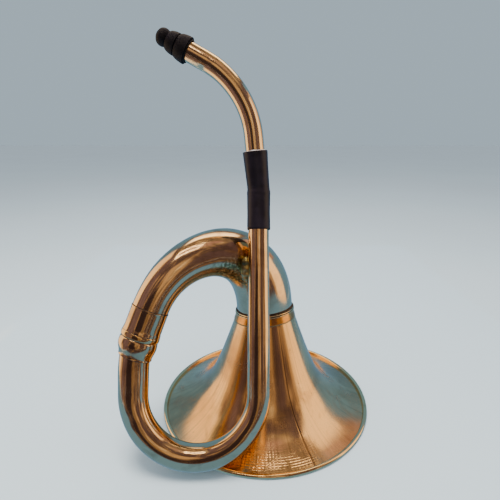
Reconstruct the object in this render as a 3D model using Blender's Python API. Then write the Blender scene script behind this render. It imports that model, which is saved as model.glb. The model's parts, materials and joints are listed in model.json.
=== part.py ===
"""Ear trumpet: a looped brass horn standing on its bell, with a crook on a rubber joint and a soft ear tip.

Metres, +Z up. The bell is turned about a vertical axis and stands on its rolled rim. The horn tube's leg
rises from the lower bow, leans back across the front of the upper bow, and carries the rubber joint.
Every length below is a driving dimension; all positions follow from them.
"""

import math

import bmesh
import bpy
from mathutils import Matrix, Vector
from mathutils.geometry import interpolate_bezier

MM = 0.001
GAP = 0.3 * MM  # left between pieces that touch

# Bell, on its own axis: a straight cone whose rim opens out exponentially
RIM_RADIUS = 76.0 * MM
RIM_BEAD = 1.4 * MM
FLARE_FOOT = 1.0 * MM
NECK_HEIGHT = 72.0 * MM
NECK_RADIUS = 20.3 * MM
CONE_SLOPE = 0.345
FLARE_GAIN = 30.9 * MM
FLARE_FALL = 10.0 * MM
BELL_WALL = 0.7 * MM
BELL_TOP = 73.2 * MM
BAND_FOOT = 68.2 * MM
BAND_TOP = 73.0 * MM
BAND_WALL = 0.5 * MM
BAND_PROUD = 0.4 * MM
NECK_WIRE = 0.5 * MM
NECK_WIRES = {"neck_wire_lower": 20.6 * MM, "neck_wire_upper": 20.55 * MM}
NECK_LEAN_LEFT = math.radians(4.4)
NECK_LEAN_BACK = math.radians(5.5)
LEAN_FOOT = 50.0 * MM  # the bell is level up to here
BELL_SIDES = 40

# Horn tube, in the plane of the loop: leg, lower bow, left leg and knuckle
LOOP_LEAN = math.radians(20.0)
LOW_POINT = Vector((-42.5, -69.4, 10.2)) * MM
BOW_RADIUS = 37.6 * MM
LEG_HEIGHT = 119.5 * MM
LEFT_LEG_HEIGHT = 12.4 * MM
KNUCKLE_RADIUS = 64.7 * MM
KNUCKLE_TURN = math.radians(20.0)
KNUCKLE_TAIL = 5.0 * MM
TUBE_WALL = 0.7 * MM
LEG_RADIUS = 6.15 * MM
KNUCKLE_END_RADIUS = 9.45 * MM
HORN_GROWTH = 1.5  # the bore widens faster toward the ferrule
TUBE_SIDES = 16

# Union of the horn tube and the upper bow, along the ferrule's axis from the middle of its bead
FERRULE_LENGTH = 16.5 * MM
FERRULE_RADIUS = 11.4 * MM
FERRULE_WALL = 0.4 * MM
FERRULE_BEAD = 3.4 * MM
FERRULE_BEAD_RADIUS = 11.8 * MM
CUP_LENGTH = 12.9 * MM
CUP_FOOT_RADIUS = 10.0 * MM
CUP_SKEW = math.radians(11.0)  # the cup is cut less bent than the tube inside it
CUP_BULGE = 0.35 * MM
CUP_WALL = 0.35 * MM
UNION_SIDES = 20

# Upper bow, from the ferrule over the top and down to the bell's neck
UPPER_BOW_START = -1.0 * MM
UPPER_BOW_TAIL = 2.5 * MM
UPPER_BOW_PULL = 45.6 * MM
UPPER_BOW_SHOULDER = Vector((-2.0, 0.0, 56.2)) * MM
UPPER_BOW_SOCKETED = 10.7 * MM
UPPER_BOW_OPENING = 11.1 * MM
UPPER_BOW_CLOSING = 19.7 * MM
UPPER_BOW_SWELL = 112.0 * MM

# Rubber joint and crook, from the kink where the two tubes meet
KINK_HEIGHT = 122.5 * MM
CROOK_TIP_FORWARD = math.radians(14.0)
CROOK_TIP_LEFT = math.radians(5.3)
JOINT_BELOW = 24.0 * MM
JOINT_ABOVE = 23.5 * MM
JOINT_RADIUS = 7.05 * MM
JOINT_TOP_RADIUS = 7.5 * MM
JOINT_STEP = 0.25 * MM
LINER_WALL = 0.35 * MM
LINER_DEPTH = 12.0 * MM
LINER_PROUD = 0.7 * MM
CROOK_RADIUS = 5.85 * MM
CROOK_WALL = 0.7 * MM
CROOK_FOOT = 3.0 * MM
CROOK_STRAIGHT = 32.2 * MM
CROOK_BEND_RADIUS = 54.1 * MM
CROOK_BEND = math.radians(56.6)
CROOK_END = 14.2 * MM

# Ear tip, from its base outward: two soft flanges and a bulb over a reducing nipple
TIP_BASE = 10.1 * MM
TIP_LENGTH = 20.3 * MM
TIP_BORE = 1.6 * MM
TIP_FLANGES = ((0.9, 7.9, 7.75, 5.6), (8.1, 13.9, 6.45, 4.3))  # foot, head, foot radius, head radius in mm
TIP_BULB = (12.5, 20.3, 5.1)  # foot, end, radius in mm
TIP_SOCKET_DEPTH = 4.5 * MM
NIPPLE_RADIUS = 3.1 * MM
NIPPLE_BORE = 2.0 * MM
NIPPLE_REACH = 15.4 * MM
NIPPLE_INSERT = 7.0 * MM
TIP_SIDES = 20

# Solder between the leg and the upper bow: the centre and half-sizes of the lump that they trim
LEG_SOLDER = (Vector((-12.2, -27.0, 113.0)) * MM, Vector((3.6, 3.4, 8.5)) * MM)

BRASS = (0.78, 0.53, 0.22, 1.0)
PALE_BRASS = (0.83, 0.64, 0.33, 1.0)
SOLDER = (0.42, 0.40, 0.24, 1.0)
RUBBER = (0.025, 0.02, 0.024, 1.0)
LINER = (0.78, 0.68, 0.63, 1.0)


def clear_scene():
    for item in list(bpy.data.objects):
        bpy.data.objects.remove(item)


def material(name, colour, roughness, metallic):
    made = bpy.data.materials.new(name)
    made.use_nodes = True
    shader = made.node_tree.nodes["Principled BSDF"]
    shader.inputs["Base Color"].default_value = colour
    shader.inputs["Roughness"].default_value = roughness
    shader.inputs["Metallic"].default_value = metallic
    return made


def metal(name, colour=BRASS, roughness=0.2):
    return material(name, colour, roughness, 1.0)


def empty(name, parent, local):
    """A guide that pieces hang from, placed in its parent's space."""
    made = bpy.data.objects.new(name, None)
    bpy.context.scene.collection.objects.link(made)
    made.parent = parent
    made.matrix_local = local
    return made


def solid(name, mesh, surface, parent, local=None):
    """One named piece, smooth except at its real edges."""
    mesh.materials.append(surface)
    mesh.shade_smooth()
    mesh.set_sharp_from_angle(angle=math.radians(40.0))
    made = bpy.data.objects.new(name, mesh)
    bpy.context.scene.collection.objects.link(made)
    made.parent = parent
    made.matrix_local = local or Matrix.Identity(4)
    return made


def loft(name, rings):
    """A ring-shaped skin through equal rings of points, closed from the last ring back to the first."""
    shape = bmesh.new()
    loops = [[shape.verts.new(point) for point in ring] for ring in rings]
    for here, there in zip(loops, loops[1:] + loops[:1]):
        for k in range(len(here)):
            after = (k + 1) % len(here)
            shape.faces.new((here[k], here[after], there[after], there[k]))
    bmesh.ops.recalc_face_normals(shape, faces=shape.faces)
    mesh = bpy.data.meshes.new(name)
    shape.to_mesh(mesh)
    shape.free()
    return mesh


def spun(profile, sides):
    """Rings of a profile of (radius, height) corners turned about Z."""
    rings = []
    for radius, height in profile:
        angles = [math.tau * k / sides for k in range(sides)]
        rings.append([Vector((radius * math.cos(a), radius * math.sin(a), height)) for a in angles])
    return rings


def turned(name, profile, sides):
    return loft(name, spun(profile, sides))


def tangents(path):
    """Directions along a path; each end's is carried on from its chord, so an arc ends square."""
    chords = [(there - here).normalized() for here, there in zip(path, path[1:])]
    inner = [(before + after).normalized() for before, after in zip(chords, chords[1:])]
    first = (2.0 * chords[0] - inner[0]).normalized()
    last = (2.0 * chords[-1] - inner[-1]).normalized()
    return [first] + inner + [last]


def circles(path, radii, sides):
    """Circles square to a path; their corners start beside the Y axis so that nested tubes line up."""
    rings = []
    for k, (point, tangent) in enumerate(zip(path, tangents(path))):
        across = (Vector((0.0, 1.0, 0.0)) - tangent * tangent.y).normalized()
        beside = across.cross(tangent)
        angles = [math.tau * n / sides for n in range(sides)]
        rings.append([point + (across * math.cos(a) + beside * math.sin(a)) * radii[k] for a in angles])
    return rings


def tube(name, path, outer, inner, sides):
    """A hollow tube along a path, open at both ends."""
    return loft(name, circles(path, outer, sides) + circles(path, inner, sides)[::-1])


def distances(path):
    """The length along a path up to each of its points."""
    along = [0.0]
    for here, there in zip(path, path[1:]):
        along.append(along[-1] + (there - here).length)
    return along


def walk(start, heading, stretches):
    """A path in the XZ plane from runs of (length, turn, steps); heading 0 is up and a right angle is +X."""
    place = Vector(start)
    path = [place.copy()]
    for length, turn, steps in stretches:
        half = 0.5 * turn / steps
        chord = length / steps * (math.sin(half) / half if half else 1.0)
        for _ in range(steps):
            middle = heading + half
            place += Vector((math.sin(middle), 0.0, math.cos(middle))) * chord
            path.append(place.copy())
            heading += 2.0 * half
    return path


def smooth(share):
    share = min(max(share, 0.0), 1.0)
    return share * share * (3.0 - 2.0 * share)


def less(radii, amount):
    return [radius - amount for radius in radii]


def more(radii, amount):
    return [radius + amount for radius in radii]


# The loop plane leans back; the ferrule stands where the knuckle ends, turned with it
LOOP_CENTRE = LOW_POINT + Vector((0.0, math.sin(LOOP_LEAN), math.cos(LOOP_LEAN))) * BOW_RADIUS
LOOP = Matrix.Translation(LOOP_CENTRE) @ Matrix.Rotation(-LOOP_LEAN, 4, "X")
LEFT_TOP = Vector((-BOW_RADIUS, 0.0, LEFT_LEG_HEIGHT))
KNUCKLE = walk(LEFT_TOP, 0.0, [(KNUCKLE_RADIUS * KNUCKLE_TURN, KNUCKLE_TURN, 6)])
FERRULE = Matrix.Translation(KNUCKLE[-1]) @ Matrix.Rotation(KNUCKLE_TURN, 4, "Y")
KINK = LOOP @ Matrix.Translation((BOW_RADIUS, 0.0, KINK_HEIGHT))
CROOK_TILT = Matrix.Rotation(CROOK_TIP_FORWARD, 4, "X") @ Matrix.Rotation(-CROOK_TIP_LEFT, 4, "Y")


NECK_SLOPES = Vector((math.tan(NECK_LEAN_LEFT), -math.tan(NECK_LEAN_BACK), 0.0))
NECK_AXIS = (Vector((0.0, 0.0, 1.0)) - NECK_SLOPES).normalized()


def cone_radius(height):
    return NECK_RADIUS + CONE_SLOPE * (NECK_HEIGHT - height)


def flare_radius(height):
    return cone_radius(height) + FLARE_GAIN * math.exp(-height / FLARE_FALL)


def flare_inside(height):
    """The point of the bell's inner face square below a point of its outer face."""
    slope = -CONE_SLOPE - FLARE_GAIN / FLARE_FALL * math.exp(-height / FLARE_FALL)
    depth = BELL_WALL / math.hypot(1.0, slope)
    return flare_radius(height) - depth, height + slope * depth


def leaned(rings):
    """Rings of the bell or its neck, tipped left and back above the bell's level part, sliding on the cone."""
    tipped = []
    for ring in rings:
        share = smooth((ring[0].z - LEAN_FOOT) / (BAND_FOOT - LEAN_FOOT))
        rises = [share * point.dot(NECK_SLOPES) for point in ring]
        slides = [CONE_SLOPE * rise / point.xy.length for point, rise in zip(ring, rises)]
        up = [Vector((0.0, 0.0, rise)) for rise in rises]
        inward = [Vector((point.x, point.y, 0.0)) * -slide for point, slide in zip(ring, slides)]
        tipped.append([sum(parts, Vector()) for parts in zip(ring, up, inward)])
    return tipped


def bell(parent):
    steps = 14
    shares = [(k / steps) ** 2.0 for k in range(steps + 1)]
    heights = [FLARE_FOOT + share * (BAND_FOOT - FLARE_FOOT) for share in shares]
    outside = [(flare_radius(h), h) for h in heights]
    inside = [flare_inside(h) for h in heights]
    collar = BAND_WALL - BAND_PROUD + GAP
    neck = [(flare_radius(h) - collar, h) for h in (BAND_FOOT, BELL_TOP)]
    bore = [(neck[1][0] - BELL_WALL, BELL_TOP)]
    mesh = loft("bell", leaned(spun(outside + neck + bore + inside[::-1], BELL_SIDES)))
    return solid("bell", mesh, metal("bell", PALE_BRASS, 0.32), parent)


def rim_bead(parent):
    """The rim rolled over its wire, flattened where it stands."""
    angles = [math.radians(a) for a in (-60, -20, 20, 60, 100, 140, 180, 220, 240)]
    centre = RIM_RADIUS - RIM_BEAD
    foot = math.sin(angles[0]) * RIM_BEAD
    profile = [(centre + RIM_BEAD * math.cos(a), max(RIM_BEAD * math.sin(a), foot) - foot) for a in angles]
    return solid("rim_bead", turned("rim_bead", profile, BELL_SIDES), metal("rim_bead", PALE_BRASS), parent)


def neck_band(parent):
    heights = (BAND_FOOT + GAP, BAND_TOP)
    outside = [(flare_radius(h) + BAND_PROUD, h) for h in heights]
    inside = [(radius - BAND_WALL, h) for radius, h in outside]
    mesh = loft("neck_band", leaned(spun(outside + inside[::-1], BELL_SIDES)))
    return solid("neck_band", mesh, metal("neck_band"), parent)


def neck_wires(parent):
    level = BAND_TOP + GAP + NECK_WIRE
    for name, radius in NECK_WIRES.items():
        angles = [math.tau * k / 6 for k in range(6)]
        profile = [(radius + NECK_WIRE * math.cos(a), level + NECK_WIRE * math.sin(a)) for a in angles]
        solid(name, loft(name, leaned(spun(profile, BELL_SIDES))), metal(name, PALE_BRASS), parent)
        level += 2.0 * NECK_WIRE + GAP


def horn_path():
    stretches = [
        (LEG_HEIGHT, 0.0, 5),
        (math.pi * BOW_RADIUS, math.pi, 16),
        (LEFT_LEG_HEIGHT, 0.0, 1),
        (KNUCKLE_RADIUS * KNUCKLE_TURN, KNUCKLE_TURN, 4),
        (KNUCKLE_TAIL, 0.0, 2),
    ]
    return walk((BOW_RADIUS, 0.0, LEG_HEIGHT), math.pi, stretches)


def horn_radii(path):
    along = distances(path)
    growth = KNUCKLE_END_RADIUS - LEG_RADIUS
    return [LEG_RADIUS + growth * (s / along[-1]) ** HORN_GROWTH for s in along]


def horn_tube(loop):
    path = horn_path()
    outer = horn_radii(path)
    mesh = tube("horn_tube", path, outer, less(outer, TUBE_WALL), TUBE_SIDES)
    return solid("horn_tube", mesh, metal("horn_tube"), loop)


def ferrule_cup(loop):
    """The swelling lower half of the union, around the knuckle; its foot is askew to the tube."""
    steps = 6
    rise = FERRULE_RADIUS - CUP_FOOT_RADIUS
    foot = KNUCKLE_TURN - CUP_LENGTH / KNUCKLE_RADIUS
    top = KNUCKLE_TURN - (0.5 * FERRULE_BEAD + 2.0 * GAP) / KNUCKLE_RADIUS
    centre = Matrix.Translation(LEFT_TOP + Vector((KNUCKLE_RADIUS, 0.0, 0.0)))
    arm = Matrix.Translation((-KNUCKLE_RADIUS, 0.0, 0.0))
    outside, inside = [], []
    for k in range(steps + 1):
        share = k / steps
        turn = Matrix.Rotation(foot + (top - foot) * share, 4, "Y")
        place = centre @ turn @ arm @ Matrix.Rotation(CUP_SKEW * (1.0 - share), 4, "Y")
        radius = CUP_FOOT_RADIUS + rise * share + CUP_BULGE * math.sin(math.pi * share)
        outside.append([place @ point for point in spun([(radius, 0.0)], UNION_SIDES)[0]])
        inside.append([place @ point for point in spun([(radius - CUP_WALL, 0.0)], UNION_SIDES)[0]])
    mesh = loft("ferrule_cup", outside + inside[::-1])
    return solid("ferrule_cup", mesh, metal("ferrule_cup"), loop)


def ferrule_bead(ferrule):
    """A raised ring, rounded outside and flat where it lies on the tube."""
    half = 0.5 * FERRULE_BEAD
    inner = UPPER_BOW_SOCKETED + GAP
    profile = [
        (inner, -half),
        (FERRULE_RADIUS, -half),
        (FERRULE_BEAD_RADIUS, -0.4 * half),
        (FERRULE_BEAD_RADIUS, 0.4 * half),
        (FERRULE_RADIUS, half),
        (inner, half),
    ]
    mesh = turned("ferrule_bead", profile, UNION_SIDES)
    return solid("ferrule_bead", mesh, metal("ferrule_bead", PALE_BRASS), ferrule)


def ferrule_sleeve(ferrule):
    foot = 0.5 * FERRULE_BEAD + GAP
    inner = FERRULE_RADIUS - FERRULE_WALL
    ends = [(FERRULE_RADIUS, foot), (FERRULE_RADIUS, FERRULE_LENGTH), (inner, FERRULE_LENGTH), (inner, foot)]
    mesh = turned("ferrule_sleeve", ends, UNION_SIDES)
    return solid("ferrule_sleeve", mesh, metal("ferrule_sleeve"), ferrule)


def upper_bow_path():
    """Straight inside the ferrule, one long curve over the top, then square onto the bell's leaning top."""
    frame = LOOP @ FERRULE
    start = frame @ Vector((0.0, 0.0, UPPER_BOW_START))
    crown = frame @ Vector((0.0, 0.0, FERRULE_LENGTH + GAP))
    pull = frame.to_3x3() @ Vector((0.0, 0.0, UPPER_BOW_PULL))
    end = Vector((0.0, 0.0, BELL_TOP + GAP)) - NECK_SLOPES * CONE_SLOPE * cone_radius(BELL_TOP)
    foot = end + NECK_AXIS * UPPER_BOW_TAIL
    curve = interpolate_bezier(crown, crown + pull, foot + UPPER_BOW_SHOULDER, foot, 20)
    return [start, start.lerp(crown, 0.5)] + curve + [foot.lerp(end, 0.5), end]


def upper_bow_radii(path):
    """Slim in the ferrule, then swelling smoothly to the bell's neck."""
    along = distances(path)
    swell = [smooth((s - along[2]) / UPPER_BOW_SWELL) for s in along]
    radii = [UPPER_BOW_OPENING + (UPPER_BOW_CLOSING - UPPER_BOW_OPENING) * share for share in swell]
    return [UPPER_BOW_SOCKETED] * 3 + radii[3:]


def upper_bow(parent):
    path = upper_bow_path()
    outer = upper_bow_radii(path)
    mesh = tube("upper_bow", path, outer, less(outer, TUBE_WALL), UNION_SIDES)
    return solid("upper_bow", mesh, metal("upper_bow"), parent)


def joint_path():
    """Along the leg, round the kink in three short chords, and on along the crook."""
    bend = 2.5 * MM
    along_crook = CROOK_TILT.to_3x3() @ Vector((0.0, 0.0, 1.0))
    below = [Vector((0.0, 0.0, -height)) for height in (JOINT_BELOW, 0.5 * JOINT_BELOW, bend)]
    above = [along_crook * height for height in (bend, 0.5 * JOINT_ABOVE, JOINT_ABOVE)]
    return below + [(below[-1] + above[0]) * 0.25] + above


def joint_sleeve(parent):
    path = joint_path()
    waist = JOINT_RADIUS - JOINT_STEP
    outer = [JOINT_RADIUS] * 3 + [waist] * 2 + [JOINT_RADIUS, JOINT_TOP_RADIUS]
    over_leg = LEG_RADIUS + 1.2 * GAP
    over_crook = CROOK_RADIUS + 1.5 * GAP
    over_liner = CROOK_RADIUS + LINER_WALL + 2.0 * GAP
    inner = [over_leg] * 4 + [over_crook] + [over_liner] * 2
    mesh = tube("joint_sleeve", path, outer, inner, TUBE_SIDES)
    return solid("joint_sleeve", mesh, material("joint_sleeve", RUBBER, 0.55, 0.0), parent)


def sleeve_liner(crook):
    """A thin pale collar that packs the crook out to the rubber, just showing at the top."""
    inner = CROOK_RADIUS + GAP
    outer = inner + LINER_WALL
    top = JOINT_ABOVE + LINER_PROUD
    ends = [(outer, top - LINER_DEPTH), (outer, top), (inner, top), (inner, top - LINER_DEPTH)]
    mesh = turned("sleeve_liner", ends, TUBE_SIDES)
    return solid("sleeve_liner", mesh, material("sleeve_liner", LINER, 0.6, 0.0), crook)


def crook_path():
    stretches = [
        (CROOK_STRAIGHT - CROOK_FOOT, 0.0, 2),
        (CROOK_BEND_RADIUS * CROOK_BEND, -CROOK_BEND, 10),
        (CROOK_END, 0.0, 2),
    ]
    return walk((0.0, 0.0, CROOK_FOOT), 0.0, stretches)


def crook(parent):
    path = crook_path()
    outer = [CROOK_RADIUS] * len(path)
    mesh = tube("crook", path, outer, less(outer, CROOK_WALL), TUBE_SIDES)
    return solid("crook", mesh, metal("crook"), parent)


def tip_frame():
    """Where the ear tip's base stands on the crook, with Z pointing out of its end."""
    end = crook_path()[-1]
    turned_back = Matrix.Rotation(-CROOK_BEND, 4, "Y")
    return Matrix.Translation(end) @ turned_back @ Matrix.Translation((0.0, 0.0, TIP_BASE - CROOK_END))


def tip_nipple(parent):
    """A stepped bush, soldered in the crook's end and reaching up inside the ear tip."""
    seat = CROOK_END - TIP_BASE
    stem = CROOK_RADIUS - CROOK_WALL - GAP
    profile = [
        (NIPPLE_BORE, -NIPPLE_INSERT),
        (stem, -NIPPLE_INSERT),
        (stem, seat),
        (NIPPLE_RADIUS, seat),
        (NIPPLE_RADIUS, NIPPLE_REACH - 0.8 * MM),
        (NIPPLE_RADIUS - 0.6 * MM, NIPPLE_REACH),
        (NIPPLE_BORE, NIPPLE_REACH),
    ]
    return solid("tip_nipple", turned("tip_nipple", profile, TUBE_SIDES), metal("tip_nipple"), parent)


def ear_tip(parent):
    """Two flanges that narrow toward the ear, each a quarter ellipse, and a rounded bulb at the end."""
    outside = [(CROOK_RADIUS + 0.9 * MM, 0.0)]
    for foot, head, wide, narrow in TIP_FLANGES:
        for share in (0.0, 0.35, 0.7, 0.92, 1.0):
            radius = narrow + (wide - narrow) * math.sqrt(1.0 - share * share)
            outside.append((radius * MM, (foot + (head - foot) * share) * MM))
    foot, end, wide = TIP_BULB
    middle = 0.5 * (foot + end)
    for angle in (-36, -15, 15, 45, 68):
        turn = math.radians(angle)
        height = middle + (end - middle) * math.sin(turn)
        outside.append((wide * math.cos(turn) ** 0.7 * MM, height * MM))
    socket = CROOK_RADIUS + GAP
    cavity = NIPPLE_RADIUS + GAP
    lip = NIPPLE_REACH + 2.0 * MM
    inside = [
        (TIP_BORE, TIP_LENGTH),
        (TIP_BORE, lip),
        (cavity, lip - MM),
        (cavity, TIP_SOCKET_DEPTH + GAP),
        (socket, TIP_SOCKET_DEPTH),
        (socket, 0.0),
    ]
    mesh = turned("ear_tip", outside + inside, TIP_SIDES)
    return solid("ear_tip", mesh, material("ear_tip", RUBBER, 0.5, 0.0), parent)


def clearance(name, path, radii, parent):
    """A hidden solid rod, a gap thicker than the tube it stands for, that trims solder."""
    shape = bmesh.new()
    loops = [[shape.verts.new(p) for p in ring] for ring in circles(path, more(radii, GAP), TUBE_SIDES)]
    for here, there in zip(loops, loops[1:]):
        for k in range(TUBE_SIDES):
            after = (k + 1) % TUBE_SIDES
            shape.faces.new((here[k], here[after], there[after], there[k]))
    shape.faces.new(loops[0])
    shape.faces.new(loops[-1])
    bmesh.ops.recalc_face_normals(shape, faces=shape.faces)
    mesh = bpy.data.meshes.new(name)
    shape.to_mesh(mesh)
    shape.free()
    made = bpy.data.objects.new(name, mesh)
    bpy.context.scene.collection.objects.link(made)
    made.parent = parent
    made.matrix_local = Matrix.Identity(4)
    made.hide_render = True
    made.display_type = "WIRE"
    return made


def solder(name, lump, parent, cutters):
    centre, half_sizes = lump
    shape = bmesh.new()
    bmesh.ops.create_icosphere(shape, subdivisions=2, radius=1.0)
    bmesh.ops.scale(shape, vec=half_sizes, verts=shape.verts)
    mesh = bpy.data.meshes.new(name)
    shape.to_mesh(mesh)
    shape.free()
    made = solid(name, mesh, metal(name, SOLDER, 0.45), parent, Matrix.Translation(centre))
    for cutter in cutters:
        trim = made.modifiers.new(cutter.name, "BOOLEAN")
        trim.operation = "DIFFERENCE"
        trim.object = cutter
    return made


def stand_on_origin(root):
    """Moves everything so that the origin is the middle of the footprint's box, at the foot of the rim."""
    bpy.context.view_layer.update()
    pieces = [item for item in bpy.data.objects if item.type == "MESH" and not item.hide_render]
    points = [piece.matrix_world @ vertex.co for piece in pieces for vertex in piece.data.vertices]
    low = Vector((min(p.x for p in points), min(p.y for p in points), 0.0))
    high = Vector((max(p.x for p in points), max(p.y for p in points), 0.0))
    root.location = -0.5 * (low + high)
    bpy.context.view_layer.update()


def main():
    clear_scene()
    horn = empty("instrument", None, Matrix.Identity(4))
    loop = empty("loop_plane", horn, LOOP)
    ferrule = empty("ferrule_axis", loop, FERRULE)
    sleeve_joint = empty("sleeve_joint", horn, KINK)
    crook_joint = empty("crook_joint", sleeve_joint, CROOK_TILT)
    tip_joint = empty("tip_joint", crook_joint, tip_frame())

    bell(horn)
    rim_bead(horn)
    neck_band(horn)
    neck_wires(horn)
    upper_bow(horn)
    horn_tube(loop)
    ferrule_cup(loop)
    ferrule_bead(ferrule)
    ferrule_sleeve(ferrule)
    joint_sleeve(sleeve_joint)
    sleeve_liner(crook_joint)
    crook(crook_joint)
    tip_nipple(tip_joint)
    ear_tip(tip_joint)

    round_tube = clearance("tube_clearance", horn_path(), horn_radii(horn_path()), loop)
    bow = clearance("bow_clearance", upper_bow_path(), upper_bow_radii(upper_bow_path()), horn)
    solder("leg_solder", LEG_SOLDER, horn, [round_tube, bow])
    stand_on_origin(horn)


main()
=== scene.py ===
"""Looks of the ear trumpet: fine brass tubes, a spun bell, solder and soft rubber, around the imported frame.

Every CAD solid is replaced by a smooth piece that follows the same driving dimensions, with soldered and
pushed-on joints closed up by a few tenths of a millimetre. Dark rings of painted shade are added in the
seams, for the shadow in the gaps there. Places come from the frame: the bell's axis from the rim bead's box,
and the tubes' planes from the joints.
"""
import json
import math

import bmesh
import bpy
from mathutils import Matrix, Vector, noise
from mathutils.geometry import interpolate_bezier


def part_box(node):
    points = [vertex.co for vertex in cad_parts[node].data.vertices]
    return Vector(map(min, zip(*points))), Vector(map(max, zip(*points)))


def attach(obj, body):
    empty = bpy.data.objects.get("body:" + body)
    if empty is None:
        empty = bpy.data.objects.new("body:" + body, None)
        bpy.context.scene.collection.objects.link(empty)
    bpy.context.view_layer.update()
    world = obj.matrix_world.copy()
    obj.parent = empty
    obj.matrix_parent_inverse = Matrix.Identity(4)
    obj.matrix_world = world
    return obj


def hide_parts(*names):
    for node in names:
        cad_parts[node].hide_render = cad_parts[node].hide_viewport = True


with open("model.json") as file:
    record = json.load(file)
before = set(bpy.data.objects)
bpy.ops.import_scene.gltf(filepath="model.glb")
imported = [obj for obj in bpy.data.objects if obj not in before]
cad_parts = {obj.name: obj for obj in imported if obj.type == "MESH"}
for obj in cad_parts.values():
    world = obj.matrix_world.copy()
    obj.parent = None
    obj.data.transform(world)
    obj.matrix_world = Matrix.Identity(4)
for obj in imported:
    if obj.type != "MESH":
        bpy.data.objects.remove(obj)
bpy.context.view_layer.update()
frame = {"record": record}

MM = 0.001
UP = Vector((0.0, 0.0, 1.0))
RIGHT = Vector((1.0, 0.0, 0.0))
FRONT = Vector((0.0, -1.0, 0.0))

# Bell, on its own axis
RIM_RADIUS = 76.0 * MM
RIM_BEAD = 1.4 * MM
FLARE_FOOT = 0.9 * MM
NECK_HEIGHT = 72.0 * MM
NECK_RADIUS = 20.3 * MM
CONE_SLOPE = 0.345
FLARE_GAIN = 30.9 * MM
FLARE_FALL = 10.0 * MM
BELL_WALL = 0.7 * MM
BELL_TOP = 73.2 * MM
BAND_FOOT = 68.2 * MM
BAND_TOP = BELL_TOP
BAND_PROUD = 0.4 * MM
NECK_WIRE = 0.5 * MM
NECK_WIRES = {"neck_wire_lower": 20.5 * MM, "neck_wire_upper": 20.4 * MM}
NECK_LEAN_LEFT = math.radians(4.4)
NECK_LEAN_BACK = math.radians(5.5)
LEAN_FOOT = 50.0 * MM
BELL_SIDES = 192

# Marks on the bell's skin; turns are in radians from its front to its right
SEAM_TURN = 0.42  # where its brazed seam runs
SEAM_WANDER = 0.012
SEAM_REACH = 0.01333  # how far either side of it the dark line has gone
CHATTER_TURN = 0.10  # middle of the patch of tool chatter near the rim
CHATTER_REACH = (0.22, 0.42)  # how far round the patch is whole, and where it has gone
CHATTER_HEIGHTS = (1.2 * MM, 2.2 * MM, 4.4 * MM, 6.4 * MM)  # where it starts, is whole, fades and has gone
CHATTER_ROUND = 190.0  # phase of its ripples per radian round the bell
CHATTER_OUTWARD = 4300.0  # phase of its ripples per metre outward

# Horn tube, in the plane of the loop
KINK_HEIGHT = 122.5 * MM
BOW_RADIUS = 37.6 * MM
LEG_HEIGHT = 119.5 * MM
LEFT_LEG_HEIGHT = 12.4 * MM
KNUCKLE_RADIUS = 64.7 * MM
KNUCKLE_TURN = math.radians(20.0)
KNUCKLE_TAIL = 5.0 * MM
TUBE_WALL = 0.7 * MM
LEG_RADIUS = 6.15 * MM
KNUCKLE_END_RADIUS = 9.45 * MM
HORN_GROWTH = 1.5

# Union of the two tubes, along the ferrule's axis from the middle of its bead
FERRULE_LENGTH = 16.5 * MM
FERRULE_RADIUS = 11.4 * MM
FERRULE_BEAD = 3.4 * MM
FERRULE_BEAD_RADIUS = 11.8 * MM
CUP_LENGTH = 12.9 * MM
CUP_FOOT_RADIUS = 10.0 * MM
CUP_SKEW = math.radians(11.0)
CUP_BULGE = 0.35 * MM
CUP_WALL = 0.35 * MM

# Upper bow
UPPER_BOW_TAIL = 2.5 * MM
UPPER_BOW_PULL = 45.6 * MM
UPPER_BOW_SHOULDER = Vector((-2.0, 0.0, 56.2)) * MM
UPPER_BOW_SOCKETED = 10.7 * MM
UPPER_BOW_OPENING = 11.1 * MM
UPPER_BOW_CLOSING = 19.7 * MM
UPPER_BOW_SWELL = 112.0 * MM
# each dent: share of the way along, how far up it faces, radius and depth in mm
BOW_DENTS = ((0.42, 0.54, 11.0, 0.30), (0.52, 0.12, 12.0, 0.32), (0.66, 0.36, 10.0, 0.25))

# Rubber joint and crook, from the kink where the two tubes meet
JOINT_BELOW = 24.0 * MM
JOINT_ABOVE = 23.5 * MM
JOINT_RADIUS = 7.05 * MM
JOINT_TOP_RADIUS = 7.5 * MM
JOINT_STEP = 0.25 * MM
LINER_WALL = 0.45 * MM
LINER_DEPTH = 12.0 * MM
LINER_PROUD = 0.7 * MM
CROOK_RADIUS = 5.85 * MM
CROOK_FOOT = 3.0 * MM
CROOK_STRAIGHT = 32.2 * MM
CROOK_BEND_RADIUS = 54.1 * MM
CROOK_BEND = math.radians(56.6)
CROOK_END = 14.2 * MM

# Ear tip, from its base outward; flanges are (foot, head, foot radius, head radius) in mm
TIP_BASE = 10.1 * MM
TIP_LENGTH = 20.3 * MM
TIP_BORE = 1.6 * MM
TIP_FLANGES = ((0.9, 7.9, 7.75, 5.6), (8.1, 13.9, 6.45, 4.3))
TIP_BULB = (12.5, 20.3, 5.1)
TIP_SOCKET_DEPTH = 4.5 * MM
NIPPLE_RADIUS = 3.1 * MM
NIPPLE_BORE = 2.0 * MM
NIPPLE_REACH = 15.4 * MM
NIPPLE_INSERT = 7.0 * MM
GAP = 0.3 * MM

TUBE_SIDES = 72
RING_STEP = 1.6 * MM  # between rings along a tube
SOCKET_RINGS = 9  # of the upper bow, inside the union


# ---- places, from the frame

def joint(name):
    return next(j for j in frame["record"]["behaviour"]["joints"] if j["name"] == name)


def standing(origin, up, forward):
    """A frame at a point with Z along up and X as near to forward as it can be."""
    up = up.normalized()
    across = up.cross(forward).normalized()
    ahead = across.cross(up)
    turned_to = Matrix((ahead, across, up)).transposed()
    return Matrix.Translation(origin) @ turned_to.to_4x4()


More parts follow.
